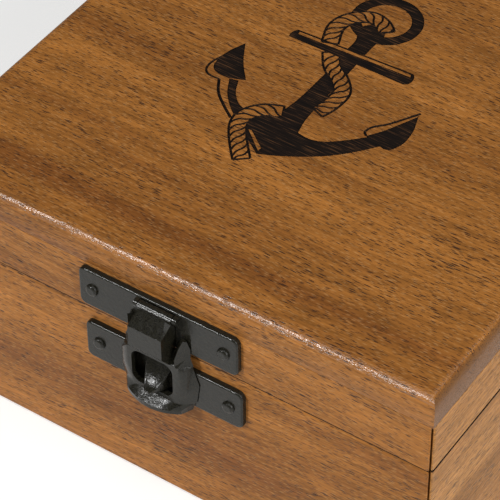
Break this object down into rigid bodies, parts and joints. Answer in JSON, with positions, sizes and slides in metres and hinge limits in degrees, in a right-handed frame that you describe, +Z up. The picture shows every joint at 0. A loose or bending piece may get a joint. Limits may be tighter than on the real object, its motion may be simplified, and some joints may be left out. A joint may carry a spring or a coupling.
{
  "type": "ditty box",
  "caption": "Small square wooden keepsake box with mitred boards, a hinged flat lid with a burnt nautical design, and a black swinging hasp latch.",
  "frame": {"origin": "centre of the box's base, on the surface that it stands on", "axes": "+Z up, +X to the right along the front with the latch, +Y from the front to the hinges at the back"},
  "size_m": [0.127, 0.137, 0.0643],
  "materials": {
    "wood": "stained and lacquered, satin",
    "carved_wood": "stained and lacquered, satin, with a burnt design",
    "black_latch": "black lacquer, glossy",
    "black_nails": "black lacquer, satin",
    "black_hinges": "black lacquer, glossy"
  },
  "bodies": {
    "box": {"body_front": "wood", "body_back": "wood", "body_left": "wood", "body_right": "wood", "body_bottom": "wood", "latch_lower_plate": "black_latch", "latch_lower_nails": "black_nails", "left_hinge_body_leaf": "black_hinges", "left_hinge_pin": "black_hinges", "left_hinge_body_nails": "black_nails", "right_hinge_body_leaf": "black_hinges", "right_hinge_pin": "black_hinges", "right_hinge_body_nails": "black_nails"},
    "lid": {"lid_front_rail": "wood", "lid_back_rail": "wood", "lid_left_rail": "wood", "lid_right_rail": "wood", "lid_panel": "carved_wood", "latch_upper_plate": "black_latch", "latch_upper_nails": "black_nails", "latch_pin": "black_latch", "left_hinge_lid_leaf": "black_hinges", "left_hinge_lid_nails": "black_nails", "right_hinge_lid_leaf": "black_hinges", "right_hinge_lid_nails": "black_nails"},
    "tongue": {"latch_tongue": "black_latch"}
  },
  "joints": [
    {"name": "lid_swing", "type": "hinge", "parent": "box", "child": "lid", "pos_m": [0, 0.0654, 0.0439], "axis": [-1, 0, 0], "range_deg": [0, 175]},
    {"name": "latch_swing", "type": "hinge", "parent": "lid", "child": "tongue", "pos_m": [0, -0.0654, 0.0546], "axis": [-1, 0, 0], "range_deg": [0, 110]}
  ]
}
